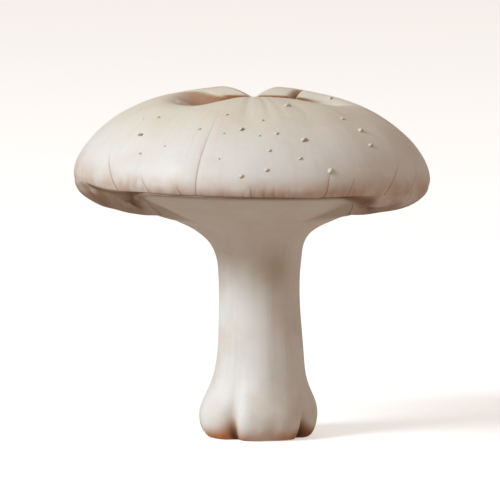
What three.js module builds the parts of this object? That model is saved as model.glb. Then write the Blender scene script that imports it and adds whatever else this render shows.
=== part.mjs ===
// A fresh button mushroom, picked and trimmed: a broad folded cap on a stout stem.
// Millimetres, +Z up. X runs across the mushroom, -Y is its front. The origin lies
// on the flat trimmed foot, below the middle of the cap's outline.

import * as THREE from 'three';

const { degToRad, euclideanModulo, lerp, radToDeg, smoothstep } = THREE.MathUtils;

// Driving dimensions of the cap.
const CAP_RADIUS = 30;
const WIDEST_HEIGHT = 44.2;
const DOME_RISE = 14.8;
const DOME_FLATNESS = 2.43;
const DOME_SHOULDER = 0.6;
const LIP_HEIGHT = 43;
const LIP_TUCK = 0.4;
const ROLL_FULLNESS = 2.5;

// Driving dimensions of the stem, with the foot that was cut flat.
const WAIST_RADIUS = 6.7;
const FOOT_RADIUS = 10.15;
const FOOT_BELLY_HEIGHT = 3.3;
const FOOT_SPREAD = 5.3;
const FOOT_TAIL = 15;
const FOOT_TAIL_SHARE = 0.32;
const CUT_RADIUS = 8.4;

// The flare is the veil that opens from the stem to the cap's underside. In front,
// between two azimuths, it runs on as a fan up to the cap's lip.
const FLARE_EDGE_RADIUS = 17.15;
const FLARE_EDGE_HEIGHT = 37.9;
const FLARE_LENGTH = 2.5;
const FLARE_START_HEIGHT = FLARE_EDGE_HEIGHT - 3 * FLARE_LENGTH;
const FAN_START_RADIUS = 11.8;
const FAN_SLOPE = 0.36;
const FAN_EDGE_RADIUS = 28.4;
const FAN_LEFT = degToRad(-53);
const FAN_LEFT_FULL = degToRad(-37);
const FAN_RIGHT_FULL = degToRad(27);
const FAN_RIGHT = degToRad(58);

// Where the stem is seated in the cap, and the parting gap between the two pieces.
const VEIL_THICKNESS = 0.6;
const SEAT_RADIUS = 14;
const SEAT_TOP = 42;
const PARTING_GAP = 0.3;

// Fineness of the surfaces.
const AZIMUTHS = 60;
const DOME_STEPS = 20;
const ROLL_STEPS = 7;
const CUT_STEPS = 2;
const FOOT_EDGE_STEPS = 4;
const SHAFT_STEPS = 9;
const FLARE_STEPS = 5;
const FAN_STEPS = 4;
const SEAT_STEPS = 4;

// A bell-shaped swelling or hollow: 1 at its middle, fading over the given width.
function bell(distance, width) {
  return Math.exp(-((distance / width) ** 2));
}

// Counts evenly from 1 to the given number of steps, as shares of the way.
function shares(steps) {
  return Array.from({ length: steps }, (_, step) => (step + 1) / steps);
}

// Height of the even dome, before its folds, at a distance from the cap's axis.
function domeHeight(radius) {
  const share = Math.min(radius / CAP_RADIUS, 1);
  return WIDEST_HEIGHT + DOME_RISE * (1 - share ** DOME_FLATNESS) ** DOME_SHOULDER;
}

// Height of the trumpet flare's outside, which widens by the same ratio each millimetre.
function flareHeight(radius) {
  const widening = (radius - WAIST_RADIUS) / (FLARE_EDGE_RADIUS - WAIST_RADIUS);
  return FLARE_EDGE_HEIGHT + FLARE_LENGTH * Math.log(widening);
}

// Underside of the veil: the flare, which the fan leaves along a straight slope.
function veilHeight(radius, isFan) {
  if (!isFan || radius < FAN_START_RADIUS) return flareHeight(radius);
  return flareHeight(FAN_START_RADIUS) + FAN_SLOPE * (radius - FAN_START_RADIUS);
}

// Radius of the stem's shaft at a height, with the swollen foot below and the flare above.
function shaftRadius(height) {
  const above = height - FOOT_BELLY_HEIGHT;
  const swelling = lerp(bell(above, FOOT_SPREAD), bell(above, FOOT_TAIL), FOOT_TAIL_SHARE);
  const flare = Math.exp((height - FLARE_EDGE_HEIGHT) / FLARE_LENGTH);
  const foot = (FOOT_RADIUS - WAIST_RADIUS) * swelling;
  return WAIST_RADIUS + foot + (FLARE_EDGE_RADIUS - WAIST_RADIUS) * flare;
}

// The seat shared by both pieces, from the veil's edge in to the axis.
function seatOutline(edgeRadius, isFan, lift) {
  const seatEdge = veilHeight(SEAT_RADIUS, isFan) + VEIL_THICKNESS;
  const points = [];
  for (const share of [0, ...shares(FAN_STEPS)]) {
    const radius = lerp(edgeRadius, SEAT_RADIUS, share);
    points.push(new THREE.Vector2(radius, veilHeight(radius, isFan) + VEIL_THICKNESS + lift));
  }
  for (const share of shares(SEAT_STEPS)) {
    const turn = (share * Math.PI) / 2;
    const radius = share === 1 ? 0 : SEAT_RADIUS * Math.cos(turn);
    points.push(new THREE.Vector2(radius, lerp(seatEdge, SEAT_TOP, Math.sin(turn)) + lift));
  }
  return points;
}

// Half section of the cap: from the top of its axis, round the rim and in to the seat,
// then put in the opposite order, which turns its faces outwards.
function capOutline(isFan) {
  const points = [new THREE.Vector2(0, domeHeight(0))];
  for (const share of shares(DOME_STEPS)) {
    const radius = CAP_RADIUS * Math.sin((share * Math.PI) / 2);
    points.push(new THREE.Vector2(radius, domeHeight(radius)));
  }
  const lipRadius = CAP_RADIUS - LIP_TUCK / 2;
  points.push(new THREE.Vector2(lipRadius, LIP_HEIGHT));
  const innerRadius = (isFan ? FAN_EDGE_RADIUS : FLARE_EDGE_RADIUS) + PARTING_GAP;
  const innerHeight = veilHeight(innerRadius, isFan);
  const rollReach = lipRadius - LIP_TUCK - innerRadius;
  for (const share of [0, ...shares(ROLL_STEPS)]) {
    const turn = (share * Math.PI) / 2;
    const across = share === 1 ? 0 : Math.cos(turn) ** (2 / ROLL_FULLNESS);
    const down = Math.sin(turn) ** (2 / ROLL_FULLNESS);
    points.push(new THREE.Vector2(
      innerRadius + rollReach * across,
      lerp(LIP_HEIGHT - LIP_TUCK / 2, innerHeight, down),
    ));
  }
  return [...points, ...seatOutline(innerRadius, isFan, PARTING_GAP)].reverse();
}

// Half section of the stem from the middle of its cut foot, up the shaft and out along
// the veil to its edge, then back over the seat to the axis.
function stemOutline(isFan) {
  const points = [new THREE.Vector2(0, 0)];
  for (const share of shares(CUT_STEPS)) {
    points.push(new THREE.Vector2(CUT_RADIUS * share, 0));
  }
  for (const share of shares(FOOT_EDGE_STEPS)) {
    const turn = (share * Math.PI) / 2;
    const radius = lerp(CUT_RADIUS, FOOT_RADIUS, Math.sin(turn));
    points.push(new THREE.Vector2(radius, FOOT_BELLY_HEIGHT * (1 - Math.cos(turn))));
  }
  for (const share of shares(SHAFT_STEPS)) {
    const height = lerp(FOOT_BELLY_HEIGHT, FLARE_START_HEIGHT, share);
    points.push(new THREE.Vector2(shaftRadius(height), height));
  }
  for (const share of shares(FLARE_STEPS)) {
    const radius = lerp(shaftRadius(FLARE_START_HEIGHT), FAN_START_RADIUS, share);
    points.push(new THREE.Vector2(radius, flareHeight(radius)));
  }
  const edgeRadius = isFan ? FAN_EDGE_RADIUS : FLARE_EDGE_RADIUS;
  for (const share of shares(FAN_STEPS)) {
    const radius = lerp(FAN_START_RADIUS, edgeRadius, share);
    points.push(new THREE.Vector2(radius, veilHeight(radius, isFan)));
  }
  return [...points, ...seatOutline(edgeRadius, isFan, 0)];
}

// How fully the fan is open at an azimuth, measured from the front towards +X.
function fanShare(azimuth) {
  const left = smoothstep(azimuth, FAN_LEFT, FAN_LEFT_FULL);
  const right = 1 - smoothstep(azimuth, FAN_RIGHT_FULL, FAN_RIGHT);
  return left * right;
}

// Turns a half section into a closed body whose outline changes from the plain one to
// the fan's one round the front.
function turnedBody(outlineOf) {
  const plain = outlineOf(false);
  const fan = outlineOf(true);
  const geometry = new THREE.LatheGeometry(plain, AZIMUTHS);
  const places = geometry.getAttribute('position');
  for (let index = 0; index < places.count; index += 1) {
    const ring = index % plain.length;
    const turn = (2 * Math.PI * Math.floor(index / plain.length)) / AZIMUTHS;
    const azimuth = turn > Math.PI ? turn - 2 * Math.PI : turn;
    const share = fanShare(azimuth);
    const radius = lerp(plain[ring].x, fan[ring].x, share);
    const height = lerp(plain[ring].y, fan[ring].y, share);
    places.setXYZ(index, radius * Math.sin(azimuth), -radius * Math.cos(azimuth), height);
  }
  return geometry;
}

// Moves every point of a body by a rule that changes the point in place.
function reshape(geometry, move) {
  const places = geometry.getAttribute('position');
  const point = new THREE.Vector3();
  for (let index = 0; index < places.count; index += 1) {
    point.fromBufferAttribute(places, index);
    move(point);
    places.setXYZ(index, point.x, point.y, point.z);
  }
  geometry.computeVertexNormals();
  return geometry;
}

// The crease across the crown. In front of it the front lobe is lowered by a long soft
// bank; behind it the two back lobes rise again within a few millimetres.
const CREASE = { place: -1, slant: 0.06, rightFull: 12, right: 17 };
const BANK = { depth: 1.45, front: 8, back: 2.4, left: -16, leftFull: -8 };
const GAP = { depth: 1.2, width: 1, left: -8, leftFull: -4 };

// The cleft between the two back lobes, from the crease towards the back of the rim.
const CLEFT = { depth: 1.9, place: 0.2, width: 2.4, startFull: 1, end: 23, endFull: 15 };

// The hollow at the left end of the crease, with a steep wall at its back, and the
// shallow dimple at the crease's right end.
const HOLLOW = { depth: 2.3, x: -8.8, y: -2, halfLength: 3.9, front: 7, back: 3 };
const DIMPLE = { depth: 0.5, x: 12.2, y: -2.4, halfLength: 2.8, halfWidth: 4 };

// How far the folds of the cap's crown sink below the even dome.
function foldDepth(x, y) {
  const offset = y - (CREASE.place + CREASE.slant * x);
  const bankReach = offset < 0 ? BANK.front : BANK.back;
  const bank = BANK.depth * bell(offset, bankReach) * smoothstep(x, BANK.left, BANK.leftFull);
  const gap = GAP.depth * bell(offset, GAP.width) * smoothstep(x, GAP.left, GAP.leftFull);
  const crease = (bank + gap) * (1 - smoothstep(x, CREASE.rightFull, CREASE.right));
  const cleftStart = smoothstep(offset, 0, CLEFT.startFull);
  const cleftEnd = 1 - smoothstep(y, CLEFT.endFull, CLEFT.end);
  const cleft = CLEFT.depth * bell(x - CLEFT.place, CLEFT.width) * cleftStart * cleftEnd;
  const hollowReach = y < HOLLOW.y ? HOLLOW.front : HOLLOW.back;
  const hollow = HOLLOW.depth * bell(x - HOLLOW.x, HOLLOW.halfLength) * bell(y - HOLLOW.y, hollowReach);
  const dimple = DIMPLE.depth * bell(x - DIMPLE.x, DIMPLE.halfLength) * bell(y - DIMPLE.y, DIMPLE.halfWidth);
  return Math.max(crease, cleft) + hollow + dimple;
}

// The crown sinks along its folds; the rim below it keeps its shape.
const CROWN_START = 46;
const CROWN_FULL = 52;

function foldCrown(point) {
  const share = smoothstep(point.z, CROWN_START, CROWN_FULL);
  point.z -= share * foldDepth(point.x, point.y);
}

// The grown shape isn't quite round, and the cap leans a little to the right.
const LEAN = 0.45;
const LEAN_START = 37.5;
const LEAN_FULL = 44;
const OVALNESS = 0.006;
const OVAL_TURN = degToRad(50);
const THREE_SIDEDNESS = 0.006;
const THREE_SIDED_TURN = degToRad(20);

function growUnevenly(point) {
  const azimuth = Math.atan2(point.x, -point.y);
  const oval = OVALNESS * Math.cos(2 * (azimuth - OVAL_TURN));
  const threeSided = THREE_SIDEDNESS * Math.cos(3 * (azimuth - THREE_SIDED_TURN));
  const reach = Math.hypot(point.x, point.y) / CAP_RADIUS;
  const spread = 1 + (oval + threeSided) * reach;
  point.z -= LEAN * (point.x / CAP_RADIUS) * smoothstep(point.z, LEAN_START, LEAN_FULL);
  point.x *= spread;
  point.y *= spread;
}

// The furrows round the foot: azimuth and half width in degrees, depth in millimetres,
// and the height at which each one fades out.
const FURROWS = [
  { azimuth: -29, halfWidth: 9, depth: 1.8, top: 12 },
  { azimuth: 14, halfWidth: 8, depth: 0.5, top: 5 },
  { azimuth: 55, halfWidth: 7, depth: 1.8, top: 9 },
  { azimuth: 92, halfWidth: 10, depth: 0.8, top: 7 },
  { azimuth: 137, halfWidth: 11, depth: 1.2, top: 9 },
  { azimuth: 180, halfWidth: 9, depth: 0.7, top: 6 },
  { azimuth: -136, halfWidth: 11, depth: 1.3, top: 10 },
  { azimuth: -86, halfWidth: 10, depth: 0.8, top: 7 },
];

// Shortest turn from one azimuth to another, in degrees.
function turnBetween(from, to) {
  return euclideanModulo(to - from + 180, 360) - 180;
}

function furrowFoot(point) {
  const azimuth = radToDeg(Math.atan2(point.x, -point.y));
  let depth = 0;
  for (const furrow of FURROWS) {
    const across = bell(turnBetween(furrow.azimuth, azimuth), furrow.halfWidth);
    depth += furrow.depth * across * (1 - smoothstep(point.z, 0, furrow.top));
  }
  const shrink = 1 - depth / FOOT_RADIUS;
  point.x *= shrink;
  point.y *= shrink;
}

// The stem stands a little to the right of the cap's axis and curves back under it.
const FOOT_OFFSET = 0.95;
const WAIST_OFFSET = 1.25;
const WAIST_HEIGHT = 14;
const BEND_START = 29;

function bendShaft(point) {
  const low = lerp(FOOT_OFFSET, WAIST_OFFSET, smoothstep(point.z, 0, WAIST_HEIGHT));
  point.x += low * (1 - smoothstep(point.z, BEND_START, FLARE_EDGE_HEIGHT));
}

function makeCap() {
  const body = turnedBody(capOutline);
  reshape(body, foldCrown);
  reshape(body, growUnevenly);
  const material = new THREE.MeshStandardMaterial({ color: 0xdcd3c6, roughness: 0.55, metalness: 0 });
  const cap = new THREE.Mesh(body, material);
  cap.name = 'cap';
  return cap;
}

function makeStem() {
  const body = turnedBody(stemOutline);
  reshape(body, furrowFoot);
  reshape(body, bendShaft);
  reshape(body, growUnevenly);
  const material = new THREE.MeshStandardMaterial({ color: 0xdad3c9, roughness: 0.6, metalness: 0 });
  const stem = new THREE.Mesh(body, material);
  stem.name = 'stem';
  return stem;
}

// The mushroom, moved so that the origin is below the middle of its outline.
const mushroom = new THREE.Group();
mushroom.add(makeCap(), makeStem());
const middle = new THREE.Box3().setFromObject(mushroom).getCenter(new THREE.Vector3());
mushroom.position.set(-middle.x, -middle.y, 0);

const group = new THREE.Group();
group.add(mushroom);

export default group;
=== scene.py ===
# %% [markdown]
# # A fresh button mushroom
#
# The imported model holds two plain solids, `cap` and `stem`. They fix the size and the
# place of everything. This lesson makes a fine surface for each of them: the folded
# crown, the rolled lip, the small scales, the cracks of the skin, the veil that flares
# out of the stem, and the lobed foot that a knife has trimmed flat.

# %% Load the frame
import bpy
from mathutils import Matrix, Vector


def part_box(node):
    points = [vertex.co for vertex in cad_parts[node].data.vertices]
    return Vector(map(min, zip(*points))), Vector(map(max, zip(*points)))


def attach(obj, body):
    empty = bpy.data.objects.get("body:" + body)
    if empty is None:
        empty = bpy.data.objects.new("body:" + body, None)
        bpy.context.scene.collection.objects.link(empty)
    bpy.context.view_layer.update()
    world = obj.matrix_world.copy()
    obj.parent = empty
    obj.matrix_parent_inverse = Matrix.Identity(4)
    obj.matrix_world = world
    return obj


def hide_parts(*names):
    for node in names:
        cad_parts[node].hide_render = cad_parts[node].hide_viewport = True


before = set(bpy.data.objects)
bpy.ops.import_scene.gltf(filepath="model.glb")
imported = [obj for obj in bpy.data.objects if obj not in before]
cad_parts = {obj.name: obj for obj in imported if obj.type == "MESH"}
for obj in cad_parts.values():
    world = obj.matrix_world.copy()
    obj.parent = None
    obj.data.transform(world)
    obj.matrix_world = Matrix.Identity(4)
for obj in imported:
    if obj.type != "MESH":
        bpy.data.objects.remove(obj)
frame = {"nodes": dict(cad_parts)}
print("nodes in the frame:", ", ".join(frame["nodes"]))

# %% [markdown]
# ## Sizes that come from the frame
#
# Every size below hangs on the cap's radius, read from the frame. On a cap 60 mm
# across one `MM` is a true millimetre; a cap of another size scales all the rest.

# %% Read the sizes
import math
import bmesh
import bpy
import numpy as np
from mathutils import Vector

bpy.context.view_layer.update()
cap_low, cap_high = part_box("cap")
stem_low, stem_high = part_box("stem")
CAP_RADIUS = (cap_high.x - cap_low.x) / 2
MM = CAP_RADIUS / 30
GROUND = stem_low.z

# %% [markdown]
# ## Soft curves for grown shapes
#
# Grown shapes have no straight edges. They could be pushed about by hand with a sculpt
# brush, but a formula can be read, changed and repeated. Soft hollows and swellings are
# made with a bell curve, sharp-bottomed clefts with a curve that comes to a point, and
# every change from one form to another with a smooth step.

# %% Soft curves
def bell(distance, width):
    return np.exp(-((distance / width) ** 2))


def cleft(distance, width):
    return np.exp(-np.abs(distance) / width)


def smooth(low, high, value):
    share = np.clip((value - low) / (high - low), 0, 1)
    return share * share * (3 - 2 * share)


def mix(first, second, share):
    return first + (second - first) * share


print("a quarter of the way up, the smooth step has reached", round(float(smooth(0, 1, 0.25)), 3))

# %% [markdown]
# ## The unevenness of living flesh
#
# No mushroom is perfectly round or smooth. A sum of slanted waves gives gentle bumps of
# any size that pass from one piece to the next without a seam. The draw of the waves is
# seeded, so the same mushroom grows on every run.

# %% Unevenness
def waves(places, length, seed, count=14):
    """Unevenness between about -1 and 1, with bumps about one length across."""
    chance = np.random.default_rng(seed)
    ways = chance.normal(size=(count, 3))
    ways /= np.linalg.norm(ways, axis=1)[:, None]
    pitch = 2 * math.pi / (length * chance.uniform(0.8, 2.2, count))
    start = chance.uniform(0, 2 * math.pi, count)
    sums = np.zeros(places.shape[:-1])
    for way, turns, first in zip(ways, pitch, start):
        sums += np.sin(places @ way * turns + first)
    return sums / math.sqrt(count)


print("one sample of the unevenness:", round(float(waves(np.zeros((1, 3)), MM, seed=1)[0]), 2))

# %% [markdown]
# ## Half sections of the dome and the veil
#
# A mushroom is nearly a turned shape, so each piece starts as a half section that is
# swept round the axis. The dome is a flattened curve with steep shoulders. The stem's
# wall flares upwards along a logarithmic curve into the veil, the thin skin that once
# closed the cap. The real veil isn't the same all the way round: in front it runs up to
# the lip like a fan, and elsewhere it ends where the cap's underside rolls down to it.
# So each piece has two half sections, a plain one and the fan's one.

# %% Dome and veil
WIDEST_HEIGHT = GROUND + 44.2 * MM
DOME_RISE = 14.8 * MM
DOME_FLATNESS = 2.43
DOME_SHOULDER = 0.6
WAIST_RADIUS = 6.68 * MM
FLARE_EDGE_RADIUS = 19.2 * MM
FLARE_EDGE_HEIGHT = GROUND + 38.35 * MM
FLARE_LENGTH = 2.5 * MM
FAN_START_RADIUS = 11.8 * MM
FAN_SLOPE = 0.372
FAN_EDGE_RADIUS = 29.3 * MM


def dome_height(radius):
    share = np.minimum(radius / CAP_RADIUS, 1)
    return WIDEST_HEIGHT + DOME_RISE * (1 - share**DOME_FLATNESS) ** DOME_SHOULDER


def flare_height(radius):
    widening = (radius - WAIST_RADIUS) / (FLARE_EDGE_RADIUS - WAIST_RADIUS)
    return FLARE_EDGE_HEIGHT + FLARE_LENGTH * np.log(widening)


def veil_height(radius, is_fan):
    if not is_fan:
        return flare_height(radius)
    inner = flare_height(np.minimum(radius, FAN_START_RADIUS))
    return inner + FAN_SLOPE * np.maximum(radius - FAN_START_RADIUS, 0)


def veil_edge_radius(is_fan):
    return FAN_EDGE_RADIUS if is_fan else FLARE_EDGE_RADIUS


print("the fan reaches up to", round(1000 * float(veil_height(FAN_EDGE_RADIUS, True)), 1), "mm")

# %% [markdown]
# ## The seat where the cap sits on the stem
#
# Cap and stem are one growth, but a cook's thumb parts them here, so they are two
# pieces that meet face to face. Both half sections end with this same seat, from the
# veil's fine edge in to the axis. Using one function for both keeps the faces together.

# %% Seat
VEIL_THICKNESS = 0.6 * MM
VEIL_EDGE_THICKNESS, VEIL_TAPER = 0.05 * MM, 5 * MM
SEAT_RADIUS = 14 * MM
SEAT_TOP = GROUND + 42 * MM
SEAT_RINGS = 4


def quarter_turn(steps):
    return np.linspace(0, math.pi / 2, steps + 1)[1:]


def veil_top(radius, is_fan):
    """The veil's upper face, where the cap sits on it; it thins to a fine edge."""
    taper = smooth(0, VEIL_TAPER, veil_edge_radius(is_fan) - radius)
    return veil_height(radius, is_fan) + mix(VEIL_EDGE_THICKNESS, VEIL_THICKNESS, taper)


def seat_section(edge_radius, is_fan):
    """From the veil's edge in to the axis, hidden where the cap sits on the stem."""
    across = np.linspace(edge_radius, SEAT_RADIUS, SEAT_RINGS + 1)
    veil = np.stack([across, veil_top(across, is_fan)], 1)
    turn = quarter_turn(SEAT_RINGS)
    rise = mix(veil[-1, 1], SEAT_TOP, np.sin(turn))
    dome = np.stack([SEAT_RADIUS * np.cos(turn), rise], 1)
    return np.concatenate([veil, dome])


print("the seat has", len(seat_section(FLARE_EDGE_RADIUS, False)), "points")

# %% [markdown]
# ## The cap's half section
#
# It runs from the top of the axis over the dome, turns in a little at the lip and rolls
# in under the cap. The roll is a quarter of a superellipse, which is fuller than a
# circle, as a thick rolled margin is. The rings lie closer together near the crown,
# where the folds will need them.

# %% Half section of the cap
LIP_HEIGHT = GROUND + 42.95 * MM
LIP_TUCK, FAN_LIP_TUCK = 0.15 * MM, 0.45 * MM
ROLL_FULLNESS = 2.1
DOME_RINGS, LIP_RINGS, ROLL_RINGS = 150, 6, 30
CROWN_FINENESS = 1.2


def roll_section(lip_radius, inner_radius, inner_height):
    """The underside's roll, from the lip down and in to the veil's edge."""
    turn = quarter_turn(ROLL_RINGS)
    across = np.clip(np.cos(turn), 0, 1) ** (2 / ROLL_FULLNESS)
    down = np.sin(turn) ** (2 / ROLL_FULLNESS)
    radius = inner_radius + (lip_radius - inner_radius) * across
    return np.stack([radius, mix(LIP_HEIGHT, inner_height, down)], 1)


def cap_section(is_fan):
    turn = math.pi / 2 * np.linspace(0, 1, DOME_RINGS + 1) ** CROWN_FINENESS
    dome_radius = CAP_RADIUS * np.sin(turn)
    dome = np.stack([dome_radius, dome_height(dome_radius)], 1)
    fall = np.linspace(0, 1, LIP_RINGS + 1)[1:]
    tuck = FAN_LIP_TUCK if is_fan else LIP_TUCK
    lip = np.stack([CAP_RADIUS - tuck * fall**2, mix(WIDEST_HEIGHT, LIP_HEIGHT, fall)], 1)
    inner_radius = veil_edge_radius(is_fan)
    inner_height = veil_top(np.float64(inner_radius), is_fan)
    roll = roll_section(CAP_RADIUS - tuck, inner_radius, inner_height)
    return np.concatenate([dome, lip, roll, seat_section(inner_radius, is_fan)])


print("the cap's half section has", len(cap_section(False)), "points")

# %% [markdown]
# ## Sweeping a half section round
#
# The azimuth is 0 in front and grows towards +X. Blender's Screw modifier could turn a
# section, but it can't change from the plain one to the fan's one on the way, and this
# sweep can. The steps are finer in front, where the skin's cracks are thinnest, and
# coarser behind. The result has one row for each azimuth and one column for each point
# of the half section.

# %% Sweep
AZIMUTHS = 480
FRONT_FINENESS = 0.4
FAN_LEFT, FAN_LEFT_FULL = math.radians(-53), math.radians(-37)
FAN_RIGHT_FULL, FAN_RIGHT = math.radians(27), math.radians(58)


def azimuth_steps():
    even = np.linspace(-math.pi, math.pi, AZIMUTHS, endpoint=False)
    return even - FRONT_FINENESS * np.sin(even)


def fan_share(azimuth):
    left = smooth(FAN_LEFT, FAN_LEFT_FULL, azimuth)
    right = 1 - smooth(FAN_RIGHT_FULL, FAN_RIGHT, azimuth)
    return left * right


def sweep(section_of):
    azimuth = azimuth_steps()[:, None]
    share = fan_share(azimuth)[:, :, None]
    section = mix(section_of(False)[None], section_of(True)[None], share)
    radius, height = section[:, :, 0], section[:, :, 1]
    return np.stack([radius * np.sin(azimuth), -radius * np.cos(azimuth), height], 2)


print("a sweep of the cap has", sweep(cap_section).shape[:2], "rows and columns")

# %% [markdown]
# ## Finding one's way on a sweep
#
# Folds, stains and cracks are all placed by azimuth, radius and height, so these
# helpers give the azimuth and the radius of every point, tell how near a point is to
# an azimuth, and work out which way the surface faces.

# %% Places and directions
def azimuth_of(points):
    return np.arctan2(points[..., 0], -points[..., 1])


def radius_of(points):
    return np.hypot(points[..., 0], points[..., 1])


def turn_between(azimuth, other):
    """The turn from one azimuth to another, the short way round."""
    return (azimuth - other + math.pi) % (2 * math.pi) - math.pi


def near_azimuth(azimuth, degrees, half_width):
    """1 at an azimuth, fading to 0 on both sides; both numbers are in degrees."""
    return bell(turn_between(azimuth, math.radians(degrees)), math.radians(half_width))


def outward(points):
    """Unit normals of a swept surface, worked out from its own rows and columns."""
    wrapped = np.concatenate([points[-1:], points, points[:1]])
    along = wrapped[2:] - wrapped[:-2]
    down = np.gradient(points, axis=1)
    normal = np.cross(down, along)
    length = np.linalg.norm(normal, axis=2, keepdims=True)
    return normal / np.maximum(length, 1e-12)


print("from -170 to 170 degrees is", round(math.degrees(turn_between(*np.radians([-170, 170])))), "degrees")

# %% [markdown]
# ## From a sweep to a mesh
#
# Each grid of points becomes one closed mesh: four-sided faces between the rows and a
# fan of triangles at both ends of the axis. `marks` are plain numbers on the points,
# such as how bruised the flesh is there, and they become attributes of the mesh.

# %% Make a piece
def grid_faces(rows, inner):
    """Faces between the rows of a closed sweep whose two poles are its last points."""
    row = np.arange(rows)[:, None]
    column = np.arange(inner - 1)[None]
    following = (row + 1) % rows
    quads = np.stack([
        row * inner + column, row * inner + column + 1,
        following * inner + column + 1, following * inner + column,
    ], 2).reshape(-1, 4)
    faces = quads.tolist()
    first_pole, last_pole = rows * inner, rows * inner + 1
    for here in range(rows):
        after = (here + 1) % rows
        faces.append([first_pole, here * inner, after * inner])
        faces.append([last_pole, after * inner + inner - 1, here * inner + inner - 1])
    return faces


def add_object(name, mesh):
    thing = bpy.data.objects.new(name, mesh)
    bpy.context.scene.collection.objects.link(thing)
    return thing


def make_piece(name, points, marks):
    rows, columns = points.shape[:2]
    rings = points[:, 1:-1].reshape(-1, 3)
    poles = np.stack([points[:, 0].mean(0), points[:, -1].mean(0)])
    mesh = bpy.data.meshes.new(name)
    mesh.from_pydata(np.concatenate([rings, poles]).tolist(), [], grid_faces(rows, columns - 2))
    for mark, values in marks.items():
        layer = mesh.attributes.new(mark, "FLOAT", "POINT")
        ends = [values[:, 0].mean(), values[:, -1].mean()]
        layer.data.foreach_set("value", np.concatenate([values[:, 1:-1].ravel(), ends]))
    work = bmesh.new()
    work.from_mesh(mesh)
    bmesh.ops.recalc_face_normals(work, faces=work.faces)
    work.to_mesh(mesh)
    work.free()
    mesh.shade_smooth()
    print(name, "has", len(mesh.vertices), "points and", len(mesh.polygons), "faces")
    return add_object(name, mesh)


print("a sweep of 3 rows and 4 inner columns makes", len(grid_faces(3, 4)), "faces")

# %% [markdown]
# ## The folds of the crown
#
# The crown has grown in three lobes. The front lobe is low and nearly flat, and ends in
# a crisp lip at a crease that runs across the crown. Behind the crease stand two
# rounded lobes with a cleft between them. Each fold is a depth below the even dome, as
# a function of the place seen from above. Carving depths is easier to control than
# joining separate lobes, and one fold runs into the next without any seam.

# %% Crease and cleft
CREASE_PLACE, CREASE_SLANT = -1.0 * MM, 0.06
BANK_DEPTH, BANK_WIDTH, LOBE_FRONT_WIDTH = 1.45 * MM, 8 * MM, 2.4 * MM
CREASE_DEPTH, CREASE_WIDTH = 1.6 * MM, 0.45 * MM
CLEFT_PLACE, CLEFT_DEPTH = 0.2 * MM, 2.0 * MM
CLEFT_LEFT_WIDTH, CLEFT_RIGHT_WIDTH = 5.6 * MM, 4.4 * MM
CLEFT_ROUNDING = 1.8


def behind_crease(x, y):
    return y - (CREASE_PLACE + CREASE_SLANT * x)


def crease_fold(x, y):
    """The lowered front lobe, the crisp crease and the rounded fronts of the back lobes."""
    offset = behind_crease(x, y)
    right_end = 1 - smooth(10 * MM, 20 * MM, x)
    bank = BANK_DEPTH * bell(offset, BANK_WIDTH) * smooth(-16 * MM, -8 * MM, x)
    lobes = BANK_DEPTH * bell(offset, LOBE_FRONT_WIDTH) * smooth(-11 * MM, -7 * MM, x)
    gap = CREASE_DEPTH * cleft(offset, CREASE_WIDTH) * smooth(-8 * MM, -4 * MM, x)
    return (np.where(offset < 0, bank, lobes) + gap) * right_end


def back_fold(x, y):
    """The cleft between the two back lobes, with nearly straight sides."""
    width = np.where(x < CLEFT_PLACE, CLEFT_LEFT_WIDTH, CLEFT_RIGHT_WIDTH)
    sides = np.maximum(1 - np.abs(x - CLEFT_PLACE) / width, 0) ** CLEFT_ROUNDING
    back_end = 1 - smooth(15 * MM, 23 * MM, y)
    return CLEFT_DEPTH * sides * smooth(0, 1 * MM, behind_crease(x, y)) * back_end


print("the crease is", round(1000 * float(crease_fold(0, CREASE_PLACE)), 2), "mm deep in the middle")

# %% [markdown]
# ## Hollow, dimple and split
#
# The crease's left end opens into a hollow with a steep wall behind it, its right end
# into a shallow dimple, and a short split runs back into the right lobe. They are
# depths as well, added to the first folds.

# %% Hollow, dimple and split
HOLLOW_X, HOLLOW_WIDTH = -8.8 * MM, 3.9 * MM
HOLLOW_FRONT, HOLLOW_LENGTH = -2.0 * MM, 7.0 * MM
HOLLOW_DEPTH = 2.5 * MM
WALL_LEFT_Y, WALL_RIGHT_Y = 2.8 * MM, -0.8 * MM
WALL_GENTLE, WALL_STEEP = 4.5 * MM, 1.7 * MM
DIMPLE_X, DIMPLE_Y, DIMPLE_DEPTH = 12.2 * MM, -2.4 * MM, 0.5 * MM
SPLIT_START, SPLIT_END = (6.2 * MM, -0.6 * MM), (8.8 * MM, 5.0 * MM)
SPLIT_DEPTH = 1.2 * MM
SPLIT_WIDTH, SPLIT_TIP_WIDTH = 0.55 * MM, 0.2 * MM


def hollow_wall(x, y):
    """How far a point lies behind the top of the hollow's back wall."""
    return y - mix(WALL_LEFT_Y, WALL_RIGHT_Y, smooth(-12 * MM, -3.2 * MM, x))


def hollow_fold(x, y):
    bowl = bell(x - HOLLOW_X, HOLLOW_WIDTH)
    bowl *= bell(np.minimum(y - HOLLOW_FRONT, 0), HOLLOW_LENGTH)
    steepness = mix(WALL_GENTLE, WALL_STEEP, smooth(-14 * MM, -8 * MM, x))
    return HOLLOW_DEPTH * bowl * (1 - smooth(-1, 0.1, hollow_wall(x, y) / steepness))


def dimple_fold(x, y):
    front = (behind_crease(x, y) < 0) * bell(y - DIMPLE_Y, 4 * MM)
    return DIMPLE_DEPTH * bell(x - DIMPLE_X, 2.8 * MM) * front


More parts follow.
